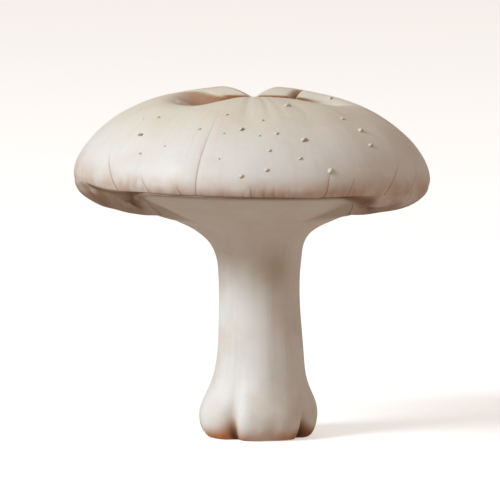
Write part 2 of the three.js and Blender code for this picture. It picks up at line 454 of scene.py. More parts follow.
def split_share(x, y):
    """The short split in the right back lobe, widest at the crease."""
    run = np.array(SPLIT_END) - np.array(SPLIT_START)
    length = np.hypot(*run)
    along = ((x - SPLIT_START[0]) * run[0] + (y - SPLIT_START[1]) * run[1]) / length
    aside = ((x - SPLIT_START[0]) * run[1] - (y - SPLIT_START[1]) * run[0]) / length
    share = along / length
    inside = smooth(-0.2, 0.05, share) * (1 - smooth(0.7, 1.05, share))
    width = mix(SPLIT_WIDTH, SPLIT_TIP_WIDTH, np.clip(share, 0, 1))
    return inside * bell(aside, width)


def fold_depth(x, y):
    main = np.maximum(crease_fold(x, y), back_fold(x, y))
    return main + hollow_fold(x, y) + dimple_fold(x, y) + SPLIT_DEPTH * split_share(x, y)


print("the hollow is", round(1000 * float(fold_depth(HOLLOW_X, HOLLOW_FRONT)), 2), "mm deep")

# %% [markdown]
# ## Growing unevenly
#
# A cap leans a little and is never quite round. Both pieces pass through this function,
# so the seat between them still fits.

# %% Uneven growth
LEAN = 0.45 * MM
OVALNESS, OVAL_TURN = 0.006, math.radians(50)
THREE_SIDEDNESS, THREE_SIDED_TURN = 0.006, math.radians(20)


def grow_unevenly(points):
    azimuth, radius = azimuth_of(points), radius_of(points)
    oval = OVALNESS * np.cos(2 * (azimuth - OVAL_TURN))
    three_sided = THREE_SIDEDNESS * np.cos(3 * (azimuth - THREE_SIDED_TURN))
    spread = 1 + (oval + three_sided) * radius / CAP_RADIUS
    upper = smooth(GROUND + 37.5 * MM, GROUND + 44 * MM, points[..., 2])
    grown = points.copy()
    grown[..., 2] -= LEAN * points[..., 0] / CAP_RADIUS * upper
    grown[..., 0] *= spread
    grown[..., 1] *= spread
    return grown


print("the right edge sinks by", round(1000 * LEAN, 2), "mm")

# %% [markdown]
# ## Fold the cap
#
# The folds sink into the crown, and the uneven growth follows. On the far left the lip
# rises a little. The whole is then moved so that the middle of its outline lies over
# the origin, as it does in the solid.

# %% Fold the cap
LIP_RISE, LIP_RISE_AZIMUTH, LIP_RISE_WIDTH = 0.65 * MM, -72, 11

cap_even = sweep(cap_section)
cap_azimuth, cap_radius = azimuth_of(cap_even), radius_of(cap_even)
cap_height = cap_even[..., 2]
LIP_COLUMN = DOME_RINGS + LIP_RINGS
below_lip = np.arange(cap_even.shape[1])[None] - LIP_COLUMN
is_under = np.broadcast_to(below_lip > 0, cap_radius.shape)
is_crown = smooth(GROUND + 46 * MM, GROUND + 52 * MM, cap_height)

fold_x, fold_y = cap_even[..., 0], cap_even[..., 1]
folded = cap_even.copy()
folded[..., 2] -= is_crown * fold_depth(fold_x, fold_y)
folded = grow_unevenly(folded)
lip_rise = near_azimuth(cap_azimuth, LIP_RISE_AZIMUTH, LIP_RISE_WIDTH) * bell(below_lip, 5)
folded[..., 2] += LIP_RISE * lip_rise
outline_low = folded.reshape(-1, 3).min(0)
outline_high = folded.reshape(-1, 3).max(0)
MIDDLE = (outline_low + outline_high) / 2 * np.array([1, 1, 0])
folded -= MIDDLE
print("deepest fold", round(1000 * fold_depth(fold_x, fold_y).max(), 2), "mm")

# %% [markdown]
# ## Flutes and crimps
#
# Two kinds of relief run down the skin. Flutes are broad shallow furrows that fan out
# from the crease. Crimps are tiny puckers along the lip, where the skin's edge has
# shrunk as it dried. Real crimps come in clusters, so their strength and their reach
# vary round the lip.

# %% Flutes and crimps
FLUTES = [(-3.0, 3.0, 0.14), (8.5, 2.2, 0.07), (16.0, 2.5, 0.05), (28.0, 3.0, 0.05),
          (-40.0, 5.0, 0.06), (52.0, 4.0, 0.08), (83.0, 5.0, 0.10), (118.0, 6.0, 0.14),
          (151.0, 5.0, 0.10), (-160.0, 6.0, 0.12), (-127.0, 5.0, 0.12), (-92.0, 5.0, 0.08)]
CRIMPS = 110
CRIMP_DEPTH = 0.12 * MM


def flute_relief(azimuth, radius):
    """Each flute has an azimuth and a half width in degrees, and a depth in MM."""
    along = smooth(3 * MM, 9 * MM, radius) * (1 - smooth(17 * MM, 24 * MM, radius))
    relief = np.zeros_like(azimuth)
    for degrees, half_width, depth in FLUTES:
        relief -= depth * MM * near_azimuth(azimuth, degrees, half_width) * along
    return relief


def crimp_strength(azimuth, height, places):
    sway = 1.5 * waves(places, 14 * MM, seed=5)
    clusters = np.clip(0.35 + 0.75 * waves(places, 7 * MM, seed=6), 0, 1)
    above_lip = (height - LIP_HEIGHT) / MM
    near_lip = 1 - smooth(0.2, mix(1.2, 3.4, clusters), above_lip)
    pucker = cleft(np.sin(0.5 * CRIMPS * azimuth + sway), 0.4)
    return near_lip * clusters * pucker


crimps = crimp_strength(cap_azimuth, cap_height, cap_even)
print(len(FLUTES), "flutes;", round(100 * float((crimps > 0.2).mean()), 1), "% of the points are crimped")

# %% [markdown]
# ## Cracks in the skin
#
# The skin is torn along thin lines that climb from the lip. Most of those in front lean
# outwards. Each crack is a line of azimuth against height. The mesh stores how far a
# point is from its nearest crack, with the sign changing from one crack to the next, so
# that the stored number runs smoothly everywhere and passes zero only on a crack. The
# material can then draw a line far thinner than a face of the mesh. The front cracks
# are listed one by one, as (azimuth at the lip, azimuth at the top, height of the top,
# strength), and the ones behind are drawn by a seeded chance.

# %% Cracks
FRONT_CRACKS = [
    (-72, -77, 46.0, 0.3), (-49.3, -59.0, 50.0, 1.0), (-35.6, -39.3, 46.4, 0.8), (-23.3, -25.0, 44.9, 0.9),
    (-18.3, -17.0, 57.3, 0.7), (-9.5, -9.8, 44.4, 0.3), (-0.5, -0.9, 45.5, 0.8), (11.5, 11.8, 45.0, 0.3),
    (23.0, 26.2, 47.6, 1.0), (31.3, 35.0, 46.7, 0.6), (46.8, 58.4, 48.8, 1.0), (59.6, 70.0, 47.6, 0.6),
]
BACK_CRACK_COUNT = 10
chance = np.random.default_rng(31)
cracks = list(FRONT_CRACKS)
for place in np.linspace(86, 272, BACK_CRACK_COUNT):
    foot = place + chance.uniform(-5, 5)
    lean = chance.uniform(-7, 7)
    cracks.append((foot, foot + lean, chance.uniform(45, 53), chance.uniform(0.5, 1.0)))


def crack_line(number, climb):
    """The azimuth of a crack, in radians, at each share of its climb."""
    foot, top_turn = cracks[number][:2]
    wander = 0.5 * np.sin(climb * 5 + number) * np.minimum(climb, 1)
    return np.radians(foot + (top_turn - foot) * climb + wander)


def crack_marks(azimuth, height, radius):
    """Signed distance to the nearest crack in MM, and how open that crack is."""
    nearest = np.full(azimuth.shape, 99.0)
    opening = np.zeros(azimuth.shape)
    for number, (_, _, top, strength) in enumerate(cracks):
        climb = np.clip((height - LIP_HEIGHT) / (GROUND + top * MM - LIP_HEIGHT), 0, 1.3)
        turn = turn_between(azimuth, crack_line(number, climb))
        distance = turn * radius / MM * (-1) ** number
        closer = np.abs(distance) < np.abs(nearest)
        nearest = np.where(closer, distance, nearest)
        fading = (1 - smooth(0.5, 1.0, climb)) * mix(1, 0.35, np.minimum(climb, 1))
        opening = np.where(closer, strength * fading, opening)
    return np.clip(nearest, -3, 3), opening


crack_side, crack_depth = crack_marks(cap_azimuth, cap_height, cap_radius)
crack_depth = crack_depth * ~is_under
print(len(cracks), "cracks; the count has to be even for the signs to meet behind")

# %% [markdown]
# ## The relief of the skin
#
# The last shaping moves every point along its own normal. In front the skin ends in a
# crisp step over the veil, and on the left the underside is tucked in deeply behind the
# lip. The hidden seat gets no relief, so cap and stem still touch there.

# %% Skin relief
CRACK_GROOVE = 0.09 * MM
LIP_STEP = 0.2 * MM
TUCK_DEPTH = 1.3 * MM

relief = flute_relief(cap_azimuth, cap_radius)
relief += 0.09 * MM * waves(cap_even, 9 * MM, seed=1)
relief += 0.015 * MM * waves(cap_even, 2.2 * MM, seed=2)
relief -= CRIMP_DEPTH * crimps
relief -= CRACK_GROOVE * bell(crack_side, 0.4) * crack_depth

crisp_lip = smooth(-1.25, -1.15, cap_azimuth) * (1 - smooth(0.55, 0.8, cap_azimuth))
step_back = LIP_STEP * crisp_lip * smooth(0, 1.5, below_lip) * (1 - smooth(4, 12, below_lip))
tucked_in = smooth(-1.65, -1.05, cap_azimuth) * (1 - smooth(-0.8, -0.6, cap_azimuth))
step_back += TUCK_DEPTH * tucked_in * smooth(0, 5, below_lip) * (1 - smooth(9, 24, below_lip))
above_seat = 1 - smooth(ROLL_RINGS - 9, ROLL_RINGS, below_lip)
under_relief = 0.12 * MM * waves(cap_even, 5 * MM, seed=3) * smooth(0, 10, below_lip) * above_seat
under_relief -= step_back
cap_points = folded + outward(folded) * np.where(is_under, under_relief, relief)[..., None]
print("the relief runs from", round(1000 * relief.min(), 2), "to", round(1000 * relief.max(), 2), "mm")

# %% [markdown]
# ## What the cap's skin carries: stains and painted shade
#
# Where the flesh is folded or torn it is bruised orange-brown, and the rim is tanned. In
# the crease, the hollow and the dimple that orange-brown is also painted shade, darkest
# under the hollow's overhanging wall, and on the far left the rim's tan is partly painted
# shade. A picture could hold these marks, but it would have to be fitted to the folds.
# Here the mesh carries them as numbers worked out from the same functions as the folds,
# so that colour and shape can't drift apart.

# %% Bruises and painted shade of the crown
offset = behind_crease(fold_x, fold_y)
crease_reach = smooth(-6 * MM, -4 * MM, fold_x) * (1 - smooth(8 * MM, 13 * MM, fold_x))
# Painted shade along the bottom of the crease, over a thin bruising.
in_crease = smooth(-1.5 * MM, -0.8 * MM, offset) * (1 - smooth(0.9 * MM, 1.4 * MM, offset))
in_crease *= crease_reach

wall = hollow_wall(fold_x, fold_y)
# Painted dark shade under the hollow's overhanging wall, over an orange bruising.
in_hollow = smooth(-8 * MM, -1.5 * MM, wall) * (1 - smooth(-0.5 * MM, 0.1 * MM, wall))
in_hollow *= 0.95 * bell(fold_x + 5.5 * MM, 3.0 * MM) + 0.7 * bell(fold_x + 9.8 * MM, 3.4 * MM)

# Painted shade in the dimple at the crease's right end, over a reddish bruising.
in_dimple = 0.5 * bell(fold_x - 10.5 * MM, 3.4 * MM) * bell(offset + 1.2 * MM, 1.4 * MM)
in_split = split_share(fold_x, fold_y) ** 0.5
# This mark holds the bruises of the folds and the split, and the painted shade of the crease, hollow and
# dimple.
bruise_and_shade = np.clip(in_crease + in_hollow + in_dimple + in_split, 0, 1) * is_crown

paleness = bell(offset - 3 * MM, 2.6 * MM) * smooth(7 * MM, 9 * MM, fold_x) * is_crown
paleness *= smooth(-0.2 * MM, 0.6 * MM, offset)
print("bruised:", round(100 * float((bruise_and_shade > 0.2).mean()), 1), "% of the cap's points")

# %% [markdown]
# ## Tan and painted shade of the rim, and the underside
#
# On the far left the tan climbs higher, and that extra band is painted shade. Under the
# lip the flesh is darker and ragged at its border, except in front, where the border is
# the crisp lip itself. Near the veil the cap takes the veil's lighter colour.

# %% Stains and painted shade of the rim
# The extra 4 MM of reach on the far left is painted shade, not tan.
rim_reach = (4.2 + 4 * near_azimuth(cap_azimuth, -90, 20)) * MM
rim = 1 - smooth(-0.5 * MM, rim_reach, cap_height - LIP_HEIGHT)
ragged = below_lip + (1 - crisp_lip) * 5 * waves(cap_even, 6 * MM, seed=8)
under = mix(smooth(2, 12, ragged), smooth(0, 1, below_lip), crisp_lip) * is_under
under = mix(under, 0.35, smooth(ROLL_RINGS - 9, ROLL_RINGS, below_lip))
spots = near_azimuth(cap_azimuth, -49, 7) * bell(below_lip - 17, 6)
spots += near_azimuth(cap_azimuth, 46, 8) * bell(below_lip - 16, 6)

cap = make_piece("mushroom_cap", cap_points, {
    "bruise_and_shade": bruise_and_shade, "pale": paleness, "rim": rim, "under": under, "spot": spots,
    "crimp": crimps, "crack_side": crack_side, "crack_depth": crack_depth,
})

# %% [markdown]
# ## Scales on the skin
#
# The skin carries a few small scales: flaps of dried surface, pale where they are
# raised. Along the lower right edge each is brown, partly its own colour and partly
# painted shade. A bump in the material would vanish at the cap's outline, so each scale
# is a tiny closed mound of its own. Those in front are listed one by one, as (azimuth,
# distance from the axis, size, brownness), and a seeded draw scatters the others over
# the sides and the back.

# %% Where the scales sit
FRONT_SCALES = [
    (-47.5, 25.2, 1.2, 0.8), (-42.7, 27.8, 0.8, 0.5), (-46.8, 21.3, 0.8, 0.4), (-55.8, 22.2, 0.5, 0.3),
    (-33.2, 26.6, 0.5, 0.3), (-22.0, 23.5, 0.8, 0.4), (-11.6, 24.1, 0.6, 0.3), (-13.0, 19.5, 0.8, 0.5),
    (-11.3, 28.0, 0.5, 0.3), (-4.7, 23.1, 1.1, 1.0), (4.3, 20.6, 0.7, 0.6), (2.9, 24.2, 0.6, 0.6),
    (9.7, 23.8, 0.9, 0.6), (5.8, 26.8, 0.9, 0.4), (21.0, 15.9, 1.4, 0.3), (19.4, 25.0, 1.5, 0.7),
    (16.2, 27.8, 0.9, 0.9), (4.3, 29.0, 1.0, 0.4), (-3.7, 29.5, 1.0, 0.4), (25.5, 29.1, 1.3, 0.3),
    (46.0, 20.7, 0.9, 0.2), (48.7, 23.7, 1.2, 0.6), (47.6, 26.3, 1.2, 0.6), (98.0, 13.4, 0.9, 0.9),
]
BACK_SCALE_COUNT = 30
BACK_SCALE_REACH = 29.4
BACK_SCALE_AZIMUTHS = (100, 236)

chance = np.random.default_rng(12)
scales = list(FRONT_SCALES)
for _ in range(BACK_SCALE_COUNT):
    reach = BACK_SCALE_REACH * math.sqrt(chance.uniform(0.2, 1.0))
    place = chance.uniform(*BACK_SCALE_AZIMUTHS)
    scales.append((place, reach, chance.uniform(0.5, 1.3), chance.uniform(0.2, 0.9)))

cap_normals = outward(cap_points)
dome_rows = cap_azimuth[:, 1]
dome_reach = cap_radius[0, :DOME_RINGS]


def skin_place(degrees, reach):
    """The skin's point and normal at an azimuth and a distance from the axis."""
    turn = turn_between(math.radians(degrees), 0)
    row = int(np.argmin(np.abs(dome_rows - turn)))
    column = int(np.argmin(np.abs(dome_reach - reach * MM)))
    return Vector(cap_points[row, column]), Vector(cap_normals[row, column])


print(len(scales), "scales; the first sits", round(1000 * skin_place(*scales[0][:2])[0].z, 1), "mm up")

# %% [markdown]
# ## The shape of one scale
#
# A scale is built from rings that shrink towards its top. Its outline is ragged, its
# lower right side is steeper and darker, brown partly of its own and partly painted shade,
# and each one is turned and stretched a little by chance, so that no two look alike.

# %% One scale
SCALE_SIDES, SCALE_RINGS = 14, 4
SCALE_ROOT = -0.1 * MM
# STEEP_SIDE points down and to the right, away from the lamp, and also sets where each scale's painted
# shade lies.
STEEP_SIDE = math.radians(-50)


def add_scale(work, shade_and_browns, degrees, reach, size, brown_and_shade):
    point, normal = skin_place(degrees, reach)
    across = Vector((0, 0, 1)).cross(normal).normalized()
    upward = normal.cross(across).normalized()
    length = size * MM / 2
    width = length * chance.uniform(0.6, 0.85)
    lift = length * chance.uniform(0.5, 0.7)
    tilt = math.radians(chance.uniform(0, 45))
    rings = []
    for ring in range(SCALE_RINGS + 1):
        share = 1 - ring / SCALE_RINGS
        corners = []
        for side in range(SCALE_SIDES if share > 0 else 1):
            turn = 2 * math.pi * side / SCALE_SIDES
            ragged_edge = 1 + 0.14 * math.sin(3 * turn + 7 * size) + 0.1 * math.sin(5 * turn + reach)
            along = share * length * ragged_edge * math.cos(turn)
            aside = share * width * ragged_edge * math.sin(turn)
            right = along * math.cos(tilt) - aside * math.sin(tilt)
            up = along * math.sin(tilt) + aside * math.cos(tilt)
            steepness = math.cos(turn + tilt - STEEP_SIDE) * share
            height = lift * (1 - share**2.2) + 0.45 * lift * steepness * (1 - share**5)
            if ring == 0:
                height = SCALE_ROOT
            corners.append(work.verts.new(point + across * right + upward * up + normal * height))
            # The steep lower right side gets its brown together with painted shade.
            shade_and_browns.append(brown_and_shade * max(0.0, steepness) ** 0.7)
        rings.append(corners)
    close_scale(work, rings)


def close_scale(work, rings):
    for outer, inner in zip(rings, rings[1:]):
        for side in range(SCALE_SIDES):
            after = (side + 1) % SCALE_SIDES
            if len(inner) == 1:
                work.faces.new((outer[side], outer[after], inner[0]))
            else:
                work.faces.new((outer[side], outer[after], inner[after], inner[side]))
    work.faces.new(list(reversed(rings[0])))


print("one scale has", SCALE_SIDES * SCALE_RINGS + 1, "faces")

# %% [markdown]
# ## All the scales in one piece
#
# Dozens of tiny objects would only clutter the scene, so the mounds share one mesh.
# Each mound is closed by itself. Two of the drawn ones lie so close that they overlap.

# %% Make the scales
def make_scales():
    work, shade_and_browns = bmesh.new(), []
    for degrees, reach, size, brown_and_shade in scales:
        add_scale(work, shade_and_browns, degrees, reach, size, brown_and_shade)
    bmesh.ops.recalc_face_normals(work, faces=work.faces)
    mesh = bpy.data.meshes.new("mushroom_scales")
    work.to_mesh(mesh)
    work.free()
    layer = mesh.attributes.new("brown_and_shade", "FLOAT", "POINT")
    layer.data.foreach_set("value", shade_and_browns)
    mesh.shade_smooth()
    print(len(scales), "scales,", len(mesh.polygons), "faces")
    return add_object("mushroom_scales", mesh)


scale_piece = make_scales()

# %% [markdown]
# ## The stem's half section
#
# The stem starts at the middle of the flat cut that the knife left, rounds the foot's
# edge, swells over the foot and narrows to the waist, then flares into the veil. The
# swelling is the sum of a short bell, which makes the bulb, and a long one, which
# carries it softly up the shaft. The veil's last ring lies close to the one before it,
# so that the shading stays even right up to the edge.

# %% Half section of the stem
FOOT_RADIUS = 10.15 * MM
FOOT_BELLY_HEIGHT = GROUND + 3.3 * MM
FOOT_SPREAD, FOOT_SPREAD_SHARE, FOOT_TAIL = 4.9 * MM, 0.68, 15 * MM
CUT_RADIUS = 8.4 * MM
EDGE_STEP = 0.03 * MM
CUT_RINGS, FOOT_RINGS, SHAFT_RINGS, FLARE_RINGS, FAN_RINGS = 12, 24, 90, 24, 31
VEIL_EDGE_COLUMN = CUT_RINGS + FOOT_RINGS + SHAFT_RINGS + FLARE_RINGS + FAN_RINGS


def shaft_radius(height):
    above = height - FOOT_BELLY_HEIGHT
    swelling = mix(bell(above, FOOT_TAIL), bell(above, FOOT_SPREAD), FOOT_SPREAD_SHARE)
    flare = np.exp((height - FLARE_EDGE_HEIGHT) / FLARE_LENGTH)
    foot = (FOOT_RADIUS - WAIST_RADIUS) * swelling
    return WAIST_RADIUS + foot + (FLARE_EDGE_RADIUS - WAIST_RADIUS) * flare


def foot_section():
    cut_radius = np.linspace(0, CUT_RADIUS, CUT_RINGS + 1)
    cut = np.stack([cut_radius, np.full_like(cut_radius, GROUND)], 1)
    turn = quarter_turn(FOOT_RINGS)
    edge_radius = mix(CUT_RADIUS, FOOT_RADIUS, np.sin(turn))
    edge = np.stack([edge_radius, mix(FOOT_BELLY_HEIGHT, GROUND, np.cos(turn))], 1)
    return np.concatenate([cut, edge])


def stem_section(is_fan):
    shaft_top = FLARE_EDGE_HEIGHT - 3 * FLARE_LENGTH
    height = np.linspace(FOOT_BELLY_HEIGHT, shaft_top, SHAFT_RINGS + 1)[1:]
    shaft = np.stack([shaft_radius(height), height], 1)
    flare_radius = np.linspace(shaft_radius(shaft_top), FAN_START_RADIUS, FLARE_RINGS + 1)[1:]
    flare = np.stack([flare_radius, flare_height(flare_radius)], 1)
    edge_radius = veil_edge_radius(is_fan)
    fan_radius = np.linspace(FAN_START_RADIUS, edge_radius - EDGE_STEP, FAN_RINGS)[1:]
    fan_radius = np.append(fan_radius, edge_radius)
    fan = np.stack([fan_radius, veil_height(fan_radius, is_fan)], 1)
    return np.concatenate([foot_section(), shaft, flare, fan, seat_section(edge_radius, is_fan)])


print("the stem's half section has", len(stem_section(True)), "points")

# %% [markdown]
# ## Furrows of the foot, and the bend of the shaft
#
# The foot is a ring of lobes, parted by furrows that run up from the cut. Each
# furrow pulls the wall in towards the axis, most at the ground. The shaft stands a
# little aside under the cap and sways slightly on its way up.

# %% Furrows and bend
FURROWS = [(-29, 9, 1.9, 12), (14, 8, 0.4, 5), (55, 7, 1.9, 9), (92, 10, 0.8, 7),
           (137, 11, 1.2, 9), (180, 9, 0.7, 6), (-136, 11, 1.3, 10), (-86, 10, 0.8, 7)]
FOOT_OFFSET, WAIST_OFFSET = 0.95 * MM, 1.2 * MM
SWAY, SWAY_HEIGHT, SWAY_LENGTH = 0.2 * MM, 15 * MM, 6 * MM


def furrow_foot(points):
    """Each furrow has an azimuth, a half width in degrees, a depth and a top in MM."""
    azimuth = azimuth_of(points)
    height = points[..., 2] - GROUND
    depth = np.zeros_like(height)
    for degrees, half_width, deep, top in FURROWS:
        across = near_azimuth(azimuth, degrees, half_width)
        depth += deep * MM * across * (1 - smooth(0, top * MM, height))
    shrink = 1 - depth / FOOT_RADIUS
    furrowed = points.copy()
    furrowed[..., 0] *= shrink
    furrowed[..., 1] *= shrink
    return furrowed, depth


def bend_shaft(points):
    height = points[..., 2] - GROUND
    aside = mix(FOOT_OFFSET, WAIST_OFFSET, smooth(0, 14 * MM, height))
    aside += SWAY * bell(height - SWAY_HEIGHT, SWAY_LENGTH)
    bent = points.copy()
    bent[..., 0] += aside * (1 - smooth(29 * MM, FLARE_EDGE_HEIGHT - GROUND, height))
    return bent


stem_even = sweep(stem_section)
stem_azimuth, stem_reach = azimuth_of(stem_even), radius_of(stem_even)
stem_points, furrow_depth = furrow_foot(stem_even)
stem_points = grow_unevenly(bend_shaft(stem_points)) - MIDDLE
print(len(FURROWS), "furrows, the deepest", round(1000 * furrow_depth.max(), 2), "mm")

# %% [markdown]
# ## The stem's own relief, stains and painted shade
#
# Long low waves run up the wall. The flat cut and the hidden seat get none, so the
# mushroom stands firmly and the cap still fits. Near the cut the flesh is browned and
# painted with contact shade, less so in the middle of the front, where painted floor light
# lightens it, and painted dark shade lies in the furrows and on the right. The veil takes
# the colour of the cap's underside towards its edge, and the front of the neck is painted
# with the cap's shadow.

# %% Stem relief, stains and painted shade
STEM_RELIEF = 0.10 * MM
BROWN_TOP, BROWN_SWAY, BROWN_IN_FURROW = 2.6, 0.35, 1.3
LEFT_LOBE, LEFT_LOBE_WIDTH, LEFT_LOBE_RISE = -48, 18, 0.9
# PALE_FRONT is painted floor light on the foot's front; DARK_SIDE is painted shade on its right side.
PALE_FRONT, PALE_FRONT_WIDTH, PALE_FRONT_SHARE = 3, 22, 0.62
DARK_SIDE, DARK_SIDE_WIDTH, DARK_SIDE_SHARE = 62, 20, 0.85
# Where the cap's painted shadow lies on the front of the neck.
NECK_HEIGHT, NECK_LENGTH = 29 * MM, 4 * MM

stem_height = stem_points[..., 2] - GROUND
before_edge = VEIL_EDGE_COLUMN - np.arange(stem_even.shape[1])
is_wall = smooth(0, 0.6 * MM, stem_height) * smooth(0, 9, before_edge)[None]
stem_relief = STEM_RELIEF * waves(stem_even * np.array([1, 1, 0.35]), 4 * MM, seed=21)
stem_points += outward(stem_points) * (stem_relief * is_wall)[..., None]

brown_top = BROWN_TOP + BROWN_SWAY * waves(stem_even, 6 * MM, seed=22)
brown_top += BROWN_IN_FURROW * furrow_depth / MM
brown_top += LEFT_LOBE_RISE * near_azimuth(stem_azimuth, LEFT_LOBE, LEFT_LOBE_WIDTH)
# Browning near the cut together with painted contact shade where the foot meets the ground.
browned_and_shaded = 1 - smooth(0.1 * MM, brown_top * MM, stem_height)
# Painted floor light: in the middle of the front the browning is lightened.
browned_and_shaded *= 1 - PALE_FRONT_SHARE * near_azimuth(stem_azimuth, PALE_FRONT, PALE_FRONT_WIDTH)
# Painted shade on the right side and in the deepest furrows, over their brown.
painted_right_shade = DARK_SIDE_SHARE * near_azimuth(stem_azimuth, DARK_SIDE, DARK_SIDE_WIDTH)
deep_brown_and_shade = browned_and_shaded * np.clip(smooth(0.9 * MM, 1.8 * MM, furrow_depth) + painted_right_shade, 0, 1)

veil_edge = mix(FLARE_EDGE_RADIUS, FAN_EDGE_RADIUS, fan_share(stem_azimuth))
beside_fan = 1 - smooth(0.7, 1.0, fan_share(stem_azimuth))
near_edge = np.maximum(beside_fan, smooth(veil_edge - 1.5 * MM, veil_edge, stem_reach))
near_edge *= smooth(13 * MM, 18 * MM, stem_reach)
# Painted shadow: the cap's cast shadow on the front of the neck.
neck_shadow = near_azimuth(stem_azimuth, 20, 26) * bell(stem_height - NECK_HEIGHT, NECK_LENGTH)

stem = make_piece("mushroom_stem", stem_points, {
    "bruise_and_shade": browned_and_shaded, "deep": deep_brown_and_shade, "furrow": furrow_depth / MM,
    "edge": near_edge, "neck_shadow": neck_shadow,
})

# %% [markdown]
# ## A finish made of nodes
#
# A finish is a tree of nodes that ends in one Principled shader. This small class keeps
# the tree of one material and gives each kind of node a short name, so that a finish
# below reads like a recipe. Every input may be a number, a colour or another node's
# output.

# %% Finish
def srgb(red, green, blue):
    """A linear colour from the 0 to 255 values that a colour picker shows."""
    shares = np.array([red, green, blue]) / 255
    linear = np.where(shares <= 0.04045, shares / 12.92, ((shares + 0.055) / 1.055) ** 2.4)
    return (*linear.tolist(), 1.0)


class Finish:
    def __init__(self, name):
        self.material = bpy.data.materials.new(name)
        self.material.use_nodes = True
        self.tree = self.material.node_tree
        self.shader = self.tree.nodes["Principled BSDF"]

    def add(self, kind, **settings):
        node = self.tree.nodes.new(kind)
        for key, value in settings.items():
            setattr(node, key, value)
        return node

    def fill(self, socket, value):
        if isinstance(value, bpy.types.NodeSocket):
            self.tree.links.new(value, socket)
        else:
            socket.default_value = value

    def mark(self, name):
        """A number that the mesh carries on its points."""
        return self.add("ShaderNodeAttribute", attribute_name=name).outputs["Fac"]

    def place(self):
        return self.add("ShaderNodeTexCoord").outputs["Object"]

    def calculate(self, operation, *values):
        node = self.add("ShaderNodeMath", operation=operation)
        for socket, value in zip(node.inputs, values):
            self.fill(socket, value)
        return node.outputs[0]

    def stretch(self, operation, vector, other):
        node = self.add("ShaderNodeVectorMath", operation=operation)
        self.fill(node.inputs[0], vector)
        self.fill(node.inputs["Scale"] if operation == "SCALE" else node.inputs[1], other)
        return node.outputs[0]

    def noise(self, place, scale, detail):
        node = self.add("ShaderNodeTexNoise")
        for name, value in (("Vector", place), ("Scale", scale), ("Detail", detail)):
            self.fill(node.inputs[name], value)
        return node.outputs["Fac"]

    def ramp(self, value, low, high, start=0.0, end=1.0, smoothed=True):
        """Turns a value between low and high into one between start and end."""
        node = self.add("ShaderNodeMapRange")
        node.interpolation_type = "SMOOTHSTEP" if smoothed else "LINEAR"
        names = ("Value", "From Min", "From Max", "To Min", "To Max")
        for name, number in zip(names, (value, low, high, start, end)):
            self.fill(node.inputs[name], number)
        return node.outputs["Result"]

    def blend(self, share, first, second):
        """From the first colour to the second, as the share goes from 0 to 1."""
        node = self.add("ShaderNodeMix", data_type="RGBA")
        for socket, value in ((node.inputs[0], share), (node.inputs[6], first), (node.inputs[7], second)):
            self.fill(socket, value)
        return node.outputs[2]

    def bump(self, height, strength, distance):
        node = self.add("ShaderNodeBump")
        for name, value in (("Strength", strength), ("Distance", distance), ("Height", height)):
            self.fill(node.inputs[name], value)
        self.fill(self.shader.inputs["Normal"], node.outputs["Normal"])


print("mushroom white is", tuple(round(part, 2) for part in srgb(236, 231, 226)), "in linear light")

# %% [markdown]
# ## Flesh lets light in
#
# Mushroom flesh is moist and slightly see-through: light enters, spreads a millimetre
# or so and comes out warmer. Subsurface scattering does that. Its numbers are the same
# all over, so they are set on the shader itself.

# %% Flesh and fibres
SKIN_LIGHT_DEPTH = 1.2 * MM
FLESH_LIGHT_DEPTH = 1.4 * MM
SCALE_LIGHT_DEPTH = 0.3 * MM


def let_light_in(finish, roughness, depth):
    shader = finish.shader
    shader.inputs["Roughness"].default_value = roughness
    shader.inputs["Subsurface Weight"].default_value = 0.25
    shader.inputs["Subsurface Radius"].default_value = (1.0, 0.62, 0.42)
    shader.inputs["Subsurface Scale"].default_value = depth
    shader.inputs["Specular IOR Level"].default_value = 0.35


def fibres_round_axis(finish, fineness, length, detail):
    """Noise that is fine round the axis and drawn out along the fibres.

    The direction from the axis, a unit vector, stands in for the azimuth, so that the
    pattern meets itself behind without a seam."""
    place = finish.place()
    flat = finish.stretch("MULTIPLY", place, (1, 1, 0))
    direction = finish.add("ShaderNodeVectorMath", operation="NORMALIZE")
    finish.fill(direction.inputs[0], flat)
    fine = finish.stretch("SCALE", direction.outputs[0], fineness)
    drawn = finish.stretch("SCALE", place, length)
    return finish.noise(finish.stretch("ADD", fine, drawn), 1.0, detail)


print("light spreads about", round(1000 * SKIN_LIGHT_DEPTH, 1), "mm in the cap's skin")

# %% [markdown]
# ## The cap's skin
#
# The skin is cream, warmer towards the crown, mottled and faintly streaked along its
# fibres. Over that lie the stains, each with its own function: the tanned rim and the
# browner underside, the bruised folds, and the cracks with their pinkish borders. One
# long list of nodes would do the same, but short functions can be read and changed
# one by one.

# %% Colours of the skin
def plain_skin(finish, mottle, fibres):
    height = finish.add("ShaderNodeSeparateXYZ")
    finish.fill(height.inputs[0], finish.place())
    crownward = finish.ramp(height.outputs["Z"], GROUND + 49 * MM, GROUND + 57 * MM)
    colour = finish.blend(crownward, srgb(236, 231, 226), srgb(234, 225, 209))
    mottled = finish.calculate("MULTIPLY", finish.ramp(mottle, 0.42, 0.72), 0.35)
    colour = finish.blend(mottled, colour, srgb(222, 206, 186))
    streaks = finish.calculate("MULTIPLY", finish.ramp(fibres, 0.5, 0.75), 0.18)
    return finish.blend(streaks, colour, srgb(218, 205, 190))


def tan_and_shade_rim(finish, colour):
    # The rim mark is the real tan, plus painted shade on the far left.
    patches = finish.ramp(finish.noise(finish.place(), 260, 4), 0.35, 0.65, 0.45, 1.0)
    tanned_and_shaded = finish.calculate("MULTIPLY", finish.mark("rim"), patches)
    return finish.blend(tanned_and_shaded, colour, srgb(205, 176, 154))


